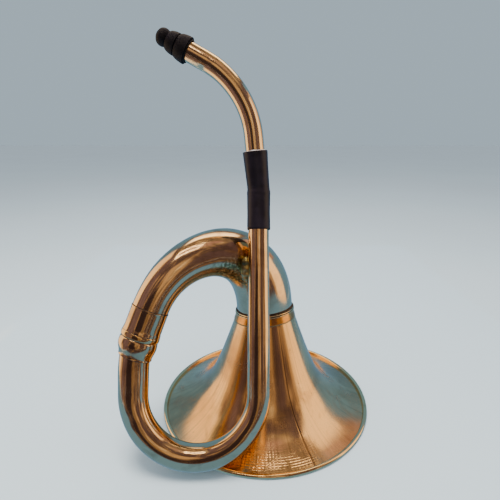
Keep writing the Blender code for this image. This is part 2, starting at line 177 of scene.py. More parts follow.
KINK = Vector(joint("crook_swivel")["pos_m"])
LEG_AXIS = Vector(joint("sleeve_pull")["axis"]).normalized()
CROOK_AXIS = Vector(joint("crook_swivel")["axis"]).normalized()
TIP_AXIS = Vector(joint("ear_tip_pull")["axis"]).normalized()

rim_low, rim_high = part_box("rim_bead")
BELL = Matrix.Translation(((rim_low.x + rim_high.x) / 2, (rim_low.y + rim_high.y) / 2, 0.0))
LOOP = standing(KINK - LEG_AXIS * KINK_HEIGHT - RIGHT * BOW_RADIUS, LEG_AXIS, RIGHT)
SLEEVE = standing(KINK, LEG_AXIS, RIGHT)
CROOK = standing(KINK, CROOK_AXIS, -TIP_AXIS)
LEFT_TOP = Vector((-BOW_RADIUS, 0.0, LEFT_LEG_HEIGHT))


# ---- mesh tools

def smooth(share):
    share = min(max(share, 0.0), 1.0)
    return share * share * (3.0 - 2.0 * share)


def mix(a, b, share):
    return a + (b - a) * share


def finished(shape):
    """A mesh from a bmesh, which is freed."""
    mesh = bpy.data.meshes.new("skin")
    shape.to_mesh(mesh)
    shape.free()
    return mesh


def loft(rings):
    """A closed skin through equal rings of points, with UVs in metres round and along it."""
    shape = bmesh.new()
    loops = [[shape.verts.new(point) for point in ring] for ring in rings]
    uv = shape.loops.layers.uv.new("UVMap")
    count = len(rings[0])
    girth = max(sum((ring[k] - ring[k - 1]).length for k in range(count)) for ring in rings)
    along = [0.0]
    for here, there in zip(rings, rings[1:] + rings[:1]):
        along.append(along[-1] + (there[0] - here[0]).length)
    for row, (here, there) in enumerate(zip(loops, loops[1:] + loops[:1])):
        for k in range(count):
            after = (k + 1) % count
            face = shape.faces.new((here[k], here[after], there[after], there[k]))
            corners = ((k, row), (k + 1, row), (k + 1, row + 1), (k, row + 1))
            for corner, (around, step) in zip(face.loops, corners):
                corner[uv].uv = (girth * around / count, along[step])
    bmesh.ops.recalc_face_normals(shape, faces=shape.faces)
    return finished(shape)


def spun(profile, sides):
    """Rings of a profile of (radius, height) corners turned about Z."""
    angles = [math.tau * k / sides for k in range(sides)]
    return [[Vector((r * math.cos(a), r * math.sin(a), h)) for a in angles] for r, h in profile]


def tangents(path):
    chords = [(there - here).normalized() for here, there in zip(path, path[1:])]
    inner = [(before + after).normalized() for before, after in zip(chords, chords[1:])]
    first = (2.0 * chords[0] - inner[0]).normalized()
    last = (2.0 * chords[-1] - inner[-1]).normalized()
    return [first] + inner + [last]


def circles(path, radii, sides, flatten=None):
    """Circles square to a path; flatten(k) squeezes ring k in the direction of the bend's plane."""
    rings = []
    angles = [math.tau * n / sides for n in range(sides)]
    for k, (point, tangent) in enumerate(zip(path, tangents(path))):
        across = (Vector((0.0, 1.0, 0.0)) - tangent * tangent.y).normalized()
        beside = across.cross(tangent)
        squeeze = flatten(k) if flatten else 0.0
        wide, slim = radii[k] * (1.0 + squeeze), radii[k] * (1.0 - squeeze)
        offsets = [across * (math.cos(a) * wide) + beside * (math.sin(a) * slim) for a in angles]
        rings.append([point + offset for offset in offsets])
    return rings


def distances(path):
    along = [0.0]
    for here, there in zip(path, path[1:]):
        along.append(along[-1] + (there - here).length)
    return along


def within(s, start, end, ease_in, ease_out):
    """1 between two distances along a tube and 0 beyond them, eased at both ends."""
    return smooth((s - start) / ease_in) * smooth((end - s) / ease_out)


def strip(inner, low, high, edge_low, edge_high):
    """The profile of a thin ring that starts inside its neighbours and shows at its two edges."""
    return [(inner, low), (edge_low, low), (edge_high, high), (inner, high)]


def evenly(path, step):
    """The path's own curve sampled again at about equal steps, ends kept."""
    along = distances(path)
    count = max(2, round(along[-1] / step))
    found, k = [], 0
    for n in range(count + 1):
        want = along[-1] * n / count
        while k < len(along) - 2 and along[k + 1] < want:
            k += 1
        share = (want - along[k]) / (along[k + 1] - along[k])
        found.append(path[k].lerp(path[k + 1], min(share, 1.0)))
    return found


def walk(start, heading, stretches):
    """A path in the XZ plane from runs of (length, turn), in steps of about RING_STEP; heading 0 is up."""
    place = Vector(start)
    path = [place.copy()]
    for length, turn in stretches:
        steps = max(2, round(length / RING_STEP))
        half = 0.5 * turn / steps
        chord = length / steps * (math.sin(half) / half if half else 1.0)
        for _ in range(steps):
            middle = heading + half
            place += Vector((math.sin(middle), 0.0, math.cos(middle))) * chord
            path.append(place.copy())
            heading += 2.0 * half
    return path


def pipe(path, radii, wall, sides=TUBE_SIDES, flatten=None):
    """A tube with an outside, a bore and rounded lips at both ends."""
    outer = circles(path, radii, sides, flatten)
    inner = circles(path, [r - wall for r in radii], sides, flatten)
    ends = tangents(path)
    rings = []
    for rim, bore, along in ((outer[0], inner[0], -ends[0]), (outer[-1], inner[-1], ends[-1])):
        turn = []
        for angle in range(0, 181, 30):
            a = math.radians(angle)
            share = 0.5 - 0.5 * math.cos(a)
            out = along * (math.sin(a) * wall * 0.5)
            turn.append([here.lerp(there, share) + out for here, there in zip(rim, bore)])
        rings.append(turn)
    first, last = rings
    return loft(first[::-1] + outer[1:-1] + last + inner[1:-1][::-1])


def outward(mesh):
    """Each vertex with its normal, all read before any of them moves."""
    return list(zip(mesh.vertices, [vertex.normal.copy() for vertex in mesh.vertices]))


def handmade(mesh, size, depth, seed=0.0, keep=None):
    """Pushes the skin in and out along its normals by soft noise, as hand-worked metal is."""
    shift = Vector((seed, 1.7 * seed, -0.6 * seed))
    for vertex, normal in outward(mesh):
        amount = noise.noise(vertex.co / size + shift) * depth
        if keep:
            amount *= keep(vertex.co)
        vertex.co += normal * amount


def dent(mesh, centre, radius, depth, stretch=None, length=1.0):
    """A soft dimple: points near centre sink along their normals; stretch is the long way of an oval one."""
    for vertex, normal in outward(mesh):
        away = vertex.co - centre
        if stretch:
            run = away.dot(stretch)
            away -= stretch * (run - run / length)
        fall = away.length / radius
        if fall < 1.0:
            vertex.co -= normal * (depth * (1.0 - fall * fall) ** 2)


def shown(name, data):
    """An object in the scene."""
    made = bpy.data.objects.new(name, data)
    bpy.context.scene.collection.objects.link(made)
    return made


def piece(name, mesh, surface, body, nodes, place=None):
    """One shown piece: its place, its surface, the body it rides on and the nodes it stands for."""
    if place:
        mesh.transform(place)
    mesh.name = name
    mesh.materials.append(surface)
    mesh.shade_smooth()
    mesh.set_sharp_from_angle(angle=math.radians(50.0))
    made = shown(name, mesh)
    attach(made, body)
    if nodes:
        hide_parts(*nodes)


# ---- node tools

def toned(colour, gain):
    return tuple(gain * part for part in colour)


class Surface:
    """A material's node tree with short words for the few nodes that these surfaces use."""

    def __init__(self, name, colour, roughness, metallic):
        self.material = bpy.data.materials.new(name)
        self.material.use_nodes = True
        self.tree = self.material.node_tree
        self.shader = self.tree.nodes["Principled BSDF"]
        self.shader.inputs["Base Color"].default_value = (*colour, 1.0)
        self.shader.inputs["Roughness"].default_value = roughness
        self.shader.inputs["Metallic"].default_value = metallic
        place = self.tree.nodes.new("ShaderNodeTexCoord")
        self.spot = place.outputs["Object"]
        self.uv = place.outputs["UV"]

    def node(self, kind, inputs=None, **settings):
        made = self.tree.nodes.new(kind)
        for key, value in settings.items():
            setattr(made, key, value)
        for key, value in (inputs or {}).items():
            self.feed(made.inputs[key], value)
        return made

    def feed(self, socket, value):
        if isinstance(value, bpy.types.NodeSocket):
            self.tree.links.new(value, socket)
        else:
            socket.default_value = value

    def scaled(self, source, scale):
        return self.node("ShaderNodeMapping", {"Vector": source, "Scale": scale}).outputs["Vector"]

    def moved(self, source, shift):
        return self.node("ShaderNodeMapping", {"Vector": source, "Location": shift}).outputs["Vector"]

    def noise(self, source, scale, detail=3.0, rough=0.5, distortion=0.0):
        made = self.node("ShaderNodeTexNoise", {
            "Vector": source, "Scale": scale, "Detail": detail, "Roughness": rough, "Distortion": distortion,
        })
        return made.outputs["Fac"]

    def ramp(self, source, stops):
        made = self.node("ShaderNodeValToRGB", {"Fac": source})
        ends = made.color_ramp.elements
        while len(ends) < len(stops):
            ends.new(0.5)
        for end, (place, value) in zip(ends, stops):
            end.position = place
            colour = value if isinstance(value, tuple) else (value, value, value)
            end.color = (*colour, 1.0)
        return made.outputs["Color"]

    def rise(self, source, start, end):
        """0 up to start and 1 from end on."""
        return self.ramp(source, ((start, 0.0), (end, 1.0)))

    def fall(self, source, start, end):
        """1 up to start and 0 from end on."""
        return self.ramp(source, ((start, 1.0), (end, 0.0)))

    def blend(self, share, a, b):
        made = self.node("ShaderNodeMix", {"Factor": share}, data_type="RGBA")
        ends = [s for s in made.inputs if s.type == "RGBA"]
        for socket, value in zip(ends, (a, b)):
            self.feed(socket, (*value, 1.0) if isinstance(value, tuple) else value)
        return next(s for s in made.outputs if s.type == "RGBA")

    def maths(self, kind, a, b=0.0):
        made = self.node("ShaderNodeMath", operation=kind)
        for socket, value in zip(made.inputs, (a, b)):
            self.feed(socket, value)
        return made.outputs["Value"]

    def plus(self, a, b):
        return self.maths("ADD", a, b)

    def times(self, a, b):
        return self.maths("MULTIPLY", a, b)

    def span(self, source, low, high):
        """Stretches 0 to 1 over low to high."""
        made = self.node("ShaderNodeMapRange", {"Value": source, "To Min": low, "To Max": high})
        return made.outputs["Result"]

    def bump(self, height, distance, strength=1.0, under=None):
        made = self.node("ShaderNodeBump", {"Height": height, "Distance": distance, "Strength": strength})
        if under:
            self.feed(made.inputs["Normal"], under)
        return made.outputs["Normal"]

    def set(self, **sockets):
        for key, value in sockets.items():
            self.feed(self.shader.inputs[key.replace("_", " ")], value)
        return self.material


def brass(name, golden, tarnish, roughness=(0.07, 0.2), tarnish_from=0.52, grain=0.02, seed=0.0,
          patina=None):
    """Old polished brass: golden metal with soft brown tarnish, hairlines along the tube and small pits."""
    s = Surface(name, golden, roughness[0], 1.0)
    shifted = s.moved(s.spot, (seed, seed * 0.7, -seed))
    cloud = s.noise(shifted, 55.0, 5.0, 0.6, 0.4)
    broad = s.noise(shifted, 16.0, 3.0, 0.5)
    patches = s.rise(cloud, tarnish_from, tarnish_from + 0.2)
    slow = s.ramp(broad, ((0.38, toned(golden, 0.9)), (0.62, golden)))
    colour = s.blend(s.times(patches, 0.7), slow, tarnish)
    lines = s.noise(s.scaled(s.uv, (1700.0, 60.0, 1.0)), 1.0, 2.0, 0.5)
    pits = s.noise(shifted, 900.0, 2.0, 0.5)
    spots = s.rise(pits, 0.70, 0.76)
    colour = s.blend(s.times(spots, 0.35), colour, toned(tarnish, 0.45))
    gloss = s.plus(s.span(cloud, *roughness), s.span(lines, -grain, grain))
    normal = s.bump(lines, 0.0015 * MM, 0.5)
    normal = s.bump(pits, 0.006 * MM, 0.3, normal)
    if patina:
        colour, gloss, normal = soiled(s, patina, colour, gloss, normal)
    return s.set(Base_Color=colour, Roughness=gloss, Normal=normal)


def soiled(s, patina, colour, gloss, normal):
    """Olive patina with specks of bright solder, splashed round a point and thinning out at a distance."""
    centre, reach = patina
    measure = s.node("ShaderNodeVectorMath", {0: s.spot, 1: tuple(centre)}, operation="DISTANCE")
    away = measure.outputs["Value"]
    ragged = s.span(s.noise(s.spot, 210.0, 4.0, 0.6), -0.35, 0.35)
    near = s.fall(s.plus(s.maths("DIVIDE", away, reach), ragged), 0.55, 0.95)
    flecks = s.noise(s.spot, 620.0, 3.0, 0.6)
    olive, green, metal = (0.16, 0.14, 0.07), (0.44, 0.42, 0.20), (0.86, 0.78, 0.52)
    grime = s.ramp(flecks, ((0.40, olive), (0.52, green), (0.64, metal)))
    colour = s.blend(s.times(near, 0.85), colour, grime)
    gloss = s.plus(gloss, s.times(near, 0.10))
    return colour, gloss, s.bump(s.times(flecks, near), 0.12 * MM, 0.7, normal)


def spun_brass(name):
    """The bell's satin brass: rings left by spinning, streaks down the cone, stains, a seam and chatter."""
    golden, pale, brown = (0.80, 0.54, 0.30), (0.88, 0.63, 0.38), (0.52, 0.32, 0.18)
    s = Surface(name, golden, 0.24, 1.0)
    cloud = s.noise(s.spot, 30.0, 5.0, 0.62, 0.6)
    broad = s.noise(s.spot, 13.0, 4.0, 0.55, 0.3)
    streaks = s.noise(s.scaled(s.uv, (300.0, 9.0, 1.0)), 1.0, 3.0, 0.6)
    rings = s.noise(s.scaled(s.uv, (4.0, 3600.0, 1.0)), 1.0, 2.0, 0.7)
    colour = s.ramp(broad, ((0.33, brown), (0.5, golden), (0.68, pale)))
    lines = s.fall(streaks, 0.36, 0.5)
    colour = s.blend(s.times(lines, 0.45), colour, toned(golden, 0.62))
    stains = s.rise(cloud, 0.53, 0.62)
    colour = s.blend(s.times(stains, 0.5), colour, pale)
    dull = s.rise(s.noise(s.spot, 44.0, 4.0, 0.6, 0.5), 0.54, 0.68)
    colour = s.blend(s.times(dull, 0.5), colour, brown)
    specks = s.rise(s.noise(s.spot, 620.0, 2.0, 0.5), 0.70, 0.75)
    colour = s.blend(s.times(specks, 0.6), colour, (0.25, 0.14, 0.08))
    around = s.node("ShaderNodeSeparateXYZ", {"Vector": s.moved(s.spot, tuple(-BELL.translation))})
    x, y, z = (around.outputs[axis] for axis in "XYZ")
    turn = s.maths("ARCTAN2", x, s.times(y, -1.0))
    line = seam_line(s, turn)
    colour = s.blend(s.times(line, 0.75), colour, (0.22, 0.12, 0.06))
    gloss = s.plus(s.span(cloud, 0.13, 0.25), s.span(dull, -0.02, 0.10))
    normal = s.bump(rings, 0.006 * MM, 0.5)
    normal = s.bump(streaks, 0.05 * MM, 0.35, normal)
    normal = s.bump(chatter(s, turn, x, y, z), 0.034 * MM, 1.0, normal)
    normal = s.bump(line, -0.05 * MM, 0.8, normal)
    return s.set(Base_Color=colour, Roughness=gloss, Normal=normal)


def seam_line(s, turn):
    """1 on the bell's brazed seam, which wanders a little, and 0 off it."""
    wander = s.span(s.noise(s.spot, 60.0, 2.0), -SEAM_WANDER, SEAM_WANDER)
    away = s.maths("ABSOLUTE", s.plus(s.maths("SUBTRACT", turn, SEAM_TURN), wander))
    return s.ramp(s.maths("DIVIDE", away, SEAM_REACH), ((0.0, 1.0), (0.5, 0.8), (1.0, 0.0)))


def chatter(s, turn, x, y, z):
    """Crossed ripples left by the spinning tool in a patch near the rim, broken up by noise."""
    stretch = 50.0  # brings heights of a few millimetres into a ramp's range
    start, whole, fading, gone = (stretch * height for height in CHATTER_HEIGHTS)
    near_rim = s.ramp(s.times(z, stretch), ((start, 0.0), (whole, 1.0), (fading, 1.0), (gone, 0.0)))
    sector = s.fall(s.maths("ABSOLUTE", s.maths("SUBTRACT", turn, CHATTER_TURN)), *CHATTER_REACH)
    ripple = s.maths("SINE", s.times(turn, CHATTER_ROUND))
    outward = s.maths("SQRT", s.plus(s.times(x, x), s.times(y, y)))
    climb = s.maths("SINE", s.times(outward, CHATTER_OUTWARD))
    patch = s.times(s.times(near_rim, sector), s.plus(ripple, climb))
    return s.times(patch, s.rise(s.noise(s.spot, 130.0, 3.0, 0.6), 0.34, 0.50))


def solder_metal(name):
    """Dull grey-green solder over brass, pitted, with brighter smears of brass."""
    s = Surface(name, (0.42, 0.38, 0.22), 0.4, 1.0)
    cloud = s.noise(s.spot, 190.0, 6.0, 0.65, 0.5)
    dark, grey, brassy = (0.20, 0.19, 0.11), (0.46, 0.42, 0.22), (0.74, 0.62, 0.34)
    colour = s.ramp(cloud, ((0.32, dark), (0.5, grey), (0.66, brassy)))
    grit = s.noise(s.spot, 1500.0, 4.0, 0.6)
    normal = s.bump(grit, 0.05 * MM, 0.5)
    normal = s.bump(cloud, 0.25 * MM, 0.5, normal)
    return s.set(Base_Color=colour, Roughness=s.span(grit, 0.18, 0.55), Normal=normal)


def painted_seam_shade(name):
    """Nearly black painted shade for the seams, standing in for the shadow in the gaps between parts."""
    s = Surface(name, (0.05, 0.03, 0.022), 0.6, 0.0)
    cloud = s.noise(s.spot, 500.0, 4.0, 0.6)
    # painted shade for the seams: near black to brown, with paler flecks
    black, brown, worn = (0.02, 0.012, 0.010), (0.06, 0.035, 0.022), (0.20, 0.12, 0.06)
    colour = s.ramp(cloud, ((0.35, black), (0.55, brown), (0.72, worn)))
    normal = s.bump(s.noise(s.spot, 1900.0, 3.0, 0.6), 0.04 * MM, 0.6)
    return s.set(Base_Color=colour, Roughness=s.span(cloud, 0.45, 0.75), Normal=normal)


def rubber(name, tint, roughness, grain_depth):
    """Black rubber with a brown-purple cast, greyer where it is rubbed, and a fine moulded grain."""
    s = Surface(name, tint, roughness, 0.0)
    cloud = s.noise(s.spot, 120.0, 4.0, 0.6)
    dust = s.rise(s.noise(s.spot, 260.0, 2.0, 0.6), 0.56, 0.78)
    colour = s.ramp(cloud, ((0.3, toned(tint, 0.6)), (0.7, toned(tint, 1.5))))
    colour = s.blend(s.times(dust, 0.03), colour, (0.12, 0.09, 0.13))
    grain = s.noise(s.spot, 1400.0, 1.0, 0.5)
    normal = s.bump(grain, grain_depth, 0.5)
    s.shader.inputs["Sheen Weight"].default_value = 0.035
    s.shader.inputs["Sheen Roughness"].default_value = 0.45
    s.shader.inputs["Sheen Tint"].default_value = (0.42, 0.26, 0.42, 1.0)
    worn = s.span(cloud, roughness - 0.08, roughness + 0.12)
    return s.set(Base_Color=colour, Roughness=worn, Normal=normal)


def liner_plastic(name):
    """A thin pale pink-grey collar, yellowed in patches."""
    s = Surface(name, (0.78, 0.66, 0.62), 0.5, 0.0)
    cloud = s.noise(s.spot, 260.0, 4.0, 0.6)
    colour = s.ramp(cloud, ((0.35, (0.62, 0.50, 0.44)), (0.65, (0.86, 0.76, 0.73))))
    normal = s.bump(s.noise(s.spot, 1800.0, 3.0, 0.6), 0.03 * MM, 0.5)
    return s.set(Base_Color=colour, Roughness=s.span(cloud, 0.4, 0.62), Normal=normal)


# ---- the bell and its neck

NECK_SLOPES = Vector((math.tan(NECK_LEAN_LEFT), -math.tan(NECK_LEAN_BACK), 0.0))
NECK_AXIS = (UP - NECK_SLOPES).normalized()


def cone_radius(height):
    return NECK_RADIUS + CONE_SLOPE * (NECK_HEIGHT - height)


def flare_radius(height):
    return cone_radius(height) + FLARE_GAIN * math.exp(-height / FLARE_FALL)


def flare_inside(height):
    slope = -CONE_SLOPE - FLARE_GAIN / FLARE_FALL * math.exp(-height / FLARE_FALL)
    depth = BELL_WALL / math.hypot(1.0, slope)
    return flare_radius(height) - depth, height + slope * depth


def leaned(rings):
    """Rings of the bell or its neck, tipped left and back above the level part, sliding on the cone."""
    tipped = []
    for ring in rings:
        moved = []
        for point in ring:
            share = smooth((point.z - LEAN_FOOT) / (BAND_FOOT - LEAN_FOOT))
            rise = share * point.dot(NECK_SLOPES)
            slide = 1.0 - CONE_SLOPE * rise / point.xy.length
            moved.append(Vector((point.x * slide, point.y * slide, point.z + rise)))
        tipped.append(moved)
    return tipped


def turned(profile):
    return loft(leaned(spun(profile, BELL_SIDES)))


def bell(surface):
    """The spun cone, rolled under the rim's bead at its edge; its skin runs up inside the band."""
    steps = 90
    span = BELL_TOP - FLARE_FOOT
    heights = [FLARE_FOOT + (k / steps) ** 1.8 * span for k in range(steps + 1)]
    outside = [(flare_radius(h) - (0.25 * MM if h > BAND_FOOT else 0.0), h) for h in heights]
    inside = [flare_inside(h) for h in heights]
    mesh = turned(outside + inside[::-1])
    flange = lambda p: within(p.z, 0.0, 40.0 * MM, 3.0 * MM, 30.0 * MM)
    handmade(mesh, 26.0 * MM, 0.35 * MM, 3.1, lambda p: 0.35 + 0.65 * flange(p))
    piece("bell_shell", mesh, surface, "horn", ["bell"], BELL)


def rim_roll(surface):
    """The rim rolled over its wire, closed against the bell with a fine seam, and worn flat below."""
    centre = RIM_RADIUS - RIM_BEAD
    profile = []
    for k in range(22):
        a = math.radians(-150.0 + 360.0 * k / 24)
        height = RIM_BEAD + RIM_BEAD * math.sin(a)
        profile.append((centre + RIM_BEAD * math.cos(a), max(height, 0.2 * MM) - 0.2 * MM))
    profile.append((centre - 1.15 * RIM_BEAD, 0.35 * RIM_BEAD))
    mesh = loft(spun(profile, BELL_SIDES))
    piece("rim_roll", mesh, surface, "horn", ["rim_bead"], BELL)


def neck_collar(surface):
    """The short collar round the neck, its lower edge dressed thin over the bell."""
    steps = 14
    heights = [BAND_FOOT + (BAND_TOP - BAND_FOOT) * k / steps for k in range(steps + 1)]
    outside = []
    for k, h in enumerate(heights):
        ease = math.sin(math.pi * min(1.0, (k + 0.35) / 2.5) / 2.0)
        outside.append((flare_radius(h) + BAND_PROUD * mix(0.35, 1.0, ease), h))
    inside = [(flare_radius(h) - 0.15 * MM, h) for h in heights]
    mesh = turned(outside + inside[::-1])
    handmade(mesh, 9.0 * MM, 0.10 * MM, 5.0)
    piece("neck_collar", mesh, surface, "horn", ["neck_band"], BELL)


def neck_wires(surface, crevice_shade):
    """Two wires soldered round the neck, not quite even, with dark rings of painted shade in the crevices
    beside them.
    """
    level = BAND_TOP + NECK_WIRE + 0.1 * MM
    low = level - NECK_WIRE - 0.2 * MM
    for name, radius in NECK_WIRES.items():
        angles = [math.tau * k / 14 for k in range(14)]
        size = 0.78 * NECK_WIRE
        profile = [(radius + 0.1 * MM + size * math.cos(a), level + size * math.sin(a)) for a in angles]
        ring = name.replace("wire", "ring")
        mesh = turned(profile)
        handmade(mesh, 5.0 * MM, 0.10 * MM, level * 9000.0)  # each wire has its own seed
        piece(ring, mesh, surface, "horn", [name], BELL)
        level += 2.0 * NECK_WIRE + GAP
    # the two dark rings below are painted shade, for the shadow in the crevices by the wires and at the
    # band's foot
    high = level - NECK_WIRE + 0.05 * MM
    outer = NECK_RADIUS + 0.10 * MM
    profile = strip(NECK_RADIUS - 1.2 * MM, low, high, outer, outer)
    piece("neck_seam", turned(profile), crevice_shade, "horn", [], BELL)
    foot, rise = BAND_FOOT - 0.28 * MM, 0.30 * MM
    edge = flare_radius(BAND_FOOT)
    profile = strip(edge - 0.5 * MM, foot, foot + rise, edge + 0.16 * MM, edge + 0.12 * MM)
    piece("band_seam", turned(profile), crevice_shade, "horn", [], BELL)


# ---- the tubes

def horn_path():
    stretches = [
        (LEG_HEIGHT, 0.0),
        (math.pi * BOW_RADIUS, math.pi),
        (LEFT_LEG_HEIGHT, 0.0),
        (KNUCKLE_RADIUS * KNUCKLE_TURN, KNUCKLE_TURN),
        (KNUCKLE_TAIL, 0.0),
    ]
    return walk((BOW_RADIUS, 0.0, LEG_HEIGHT), math.pi, stretches)


def horn_radii(path):
    along = distances(path)
    growth = KNUCKLE_END_RADIUS - LEG_RADIUS
    return [LEG_RADIUS + growth * (s / along[-1]) ** HORN_GROWTH for s in along]


def horn_tube(surface):
    """Leg, lower bow and left leg in one drawn tube, a little flat on the bend and gently dented."""
    path = horn_path()
    along = distances(path)
    bow_end = LEG_HEIGHT + math.pi * BOW_RADIUS
    ease = 14.0 * MM
    flatten = lambda k: 0.012 * within(along[k], LEG_HEIGHT, bow_end, ease, ease)
    mesh = pipe(path, horn_radii(path), TUBE_WALL, flatten=flatten)
    handmade(mesh, 17.0 * MM, 0.10 * MM, 1.3)
    handmade(mesh, 7.0 * MM, 0.035 * MM, 7.7)
    dent(mesh, Vector((-BOW_RADIUS + 2.0 * MM, 0.0, -14.0 * MM)) + FRONT * 8.0 * MM, 6.0 * MM, 0.22 * MM)
    dent(mesh, Vector((0.82 * BOW_RADIUS, 0.0, -0.6 * BOW_RADIUS)) + FRONT * 7.0 * MM, 5.0 * MM, 0.16 * MM)
    dent(mesh, Vector((-BOW_RADIUS, 0.0, 2.0 * MM)) + FRONT * 8.5 * MM, 4.0 * MM, 0.12 * MM)
    piece("horn_pipe", mesh, surface, "horn", ["horn_tube"], LOOP)


knuckle_end = Vector((1.0 - math.cos(KNUCKLE_TURN), 0.0, math.sin(KNUCKLE_TURN))) * KNUCKLE_RADIUS
FERRULE = LOOP @ Matrix.Translation(LEFT_TOP + knuckle_end) @ Matrix.Rotation(KNUCKLE_TURN, 4, "Y")


def cup_place(share):
    """Where the cup's section stands, from its foot at 0 to the bead at 1; the foot is cut askew."""
    foot = KNUCKLE_TURN - CUP_LENGTH / KNUCKLE_RADIUS
    top = KNUCKLE_TURN - (0.5 * FERRULE_BEAD + 0.1 * MM) / KNUCKLE_RADIUS
    centre = Matrix.Translation(LEFT_TOP + Vector((KNUCKLE_RADIUS, 0.0, 0.0)))
    arm = Matrix.Translation((-KNUCKLE_RADIUS, 0.0, 0.0))
    place = centre @ Matrix.Rotation(mix(foot, top, share), 4, "Y") @ arm
    return place @ Matrix.Rotation(CUP_SKEW * (1.0 - share), 4, "Y")


def ferrule_cup(surface):
    """The swelling lower half of the union; its foot stands out in a thin bright lip."""
    steps = 26
    rise = FERRULE_RADIUS - CUP_FOOT_RADIUS
    outside, inside = [], []
    for k in range(steps + 1):
        share = k / steps
        place = cup_place(share)
        radius = CUP_FOOT_RADIUS + rise * smooth(1.35 * share)
        radius += 1.3 * CUP_BULGE * math.sin(math.pi * share) ** 1.3
        lip, tuck = math.exp(-(share / 0.04) ** 2), smooth((share - 0.93) / 0.07)
        radius += 0.22 * MM * lip - 0.5 * MM * tuck
        ring = spun([(radius, 0.0)], TUBE_SIDES)[0]
        bore = spun([(radius - CUP_WALL, 0.0)], TUBE_SIDES)[0]
        outside.append([place @ point for point in ring])
        inside.append([place @ point for point in bore])
    mesh = loft(outside + inside[::-1])
    handmade(mesh, 12.0 * MM, 0.05 * MM, 2.2)
    piece("union_cup", mesh, surface, "horn", ["ferrule_cup"], LOOP)


def ferrule_bead(surface):
    """The raised ring of the union, a full half round with a sharp groove on each side."""
    half = 0.5 * FERRULE_BEAD
    inner = UPPER_BOW_SOCKETED + 0.1 * MM
    base = FERRULE_RADIUS - 0.25 * MM
    profile = [(inner, -half)]
    for k in range(15):
        a = math.pi * (k / 14 - 0.5)
        profile.append((base + (FERRULE_BEAD_RADIUS - base) * math.cos(a) ** 0.6, half * math.sin(a)))
    profile.append((inner, half))
    mesh = loft(spun(profile, TUBE_SIDES))
    handmade(mesh, 9.0 * MM, 0.05 * MM, 8.2)
    piece("union_bead", mesh, surface, "horn", ["ferrule_bead"], FERRULE)


def ferrule_sleeve(surface):
    """The union's straight half: it flares into the bead below and ends in a burnished edge above."""
    steps = 24
    foot, length = 0.5 * FERRULE_BEAD + 0.02 * MM, FERRULE_LENGTH
    outside, inside = [], []
    for k in range(steps + 1):
        share = k / steps
        height = mix(foot, length - 0.15 * MM, share)
        flare = 0.30 * MM * (1.0 - smooth((height - foot) / (2.6 * MM)))
        flare += 0.22 * MM * smooth((share - 0.95) / 0.05)
        outside.append((FERRULE_RADIUS - 0.12 * MM + flare, height))
        inside.append((UPPER_BOW_SOCKETED + 0.1 * MM, height))
    lip = outside[-1][0]
    outside += [(lip - 0.06 * MM, length - 0.02 * MM), (lip - 0.2 * MM, length)]
    mesh = loft(spun(outside + inside[::-1], TUBE_SIDES))
    handmade(mesh, 14.0 * MM, 0.07 * MM, 4.4)
    piece("union_sleeve", mesh, surface, "horn", ["ferrule_sleeve"], FERRULE)


def seam(name, place, profile, surface):
    """A thin dark ring of painted shade, for the shadow where two tubes meet."""
    mesh = loft(spun(profile, TUBE_SIDES))
    handmade(mesh, 3.0 * MM, 0.06 * MM, 1.4)
    piece(name, mesh, surface, "horn", [], place)


def union_seams(surface):
    """Dark rings of painted shade above the sleeve's edge, on both sides of the bead, and below the cup's
    lip.
    """
    top = FERRULE_LENGTH + 0.02 * MM
    bow = UPPER_BOW_OPENING
    profile = strip(bow - 0.5 * MM, top, top + 0.4 * MM, bow + 0.10 * MM, bow + 0.06 * MM)
    seam("seam_sleeve", FERRULE, profile, surface)
    groove = 0.20 * MM
    half = 0.5 * FERRULE_BEAD
    for name, middle, proud in (("seam_bead_low", -half, 0.0), ("seam_bead_high", half, 0.14 * MM)):
        edge = FERRULE_RADIUS + proud
        profile = strip(FERRULE_RADIUS - 0.55 * MM, middle - groove, middle + groove, edge, edge)
        seam(name, FERRULE, profile, surface)
    edge = CUP_FOOT_RADIUS + 0.02 * MM
    profile = strip(CUP_FOOT_RADIUS - 0.9 * MM, -0.45 * MM, 0.05 * MM, edge - 0.2 * MM, edge)
    seam("seam_cup", LOOP @ cup_place(0.0), profile, surface)


def upper_bow_path():
    """Straight inside the union, then a curve over the top, and straight down the neck's own axis."""
    start = FERRULE @ Vector((0.0, 0.0, -1.0 * MM))
    crown = FERRULE @ Vector((0.0, 0.0, FERRULE_LENGTH + GAP))
    pull = FERRULE.to_3x3() @ Vector((0.0, 0.0, UPPER_BOW_PULL))
    top = UP * (BELL_TOP + 0.05 * MM) - NECK_SLOPES * CONE_SLOPE * cone_radius(BELL_TOP)
    end = BELL @ top
    foot = end + NECK_AXIS * UPPER_BOW_TAIL
    curve = interpolate_bezier(crown, crown + pull, foot + UPPER_BOW_SHOULDER, foot, 200)
    curve = evenly(curve, RING_STEP)
    socket = [start.lerp(crown, k / (SOCKET_RINGS - 1)) for k in range(SOCKET_RINGS - 1)]
    return socket + [start.lerp(crown, 0.985)] + curve + [foot.lerp(end, 0.5), end]


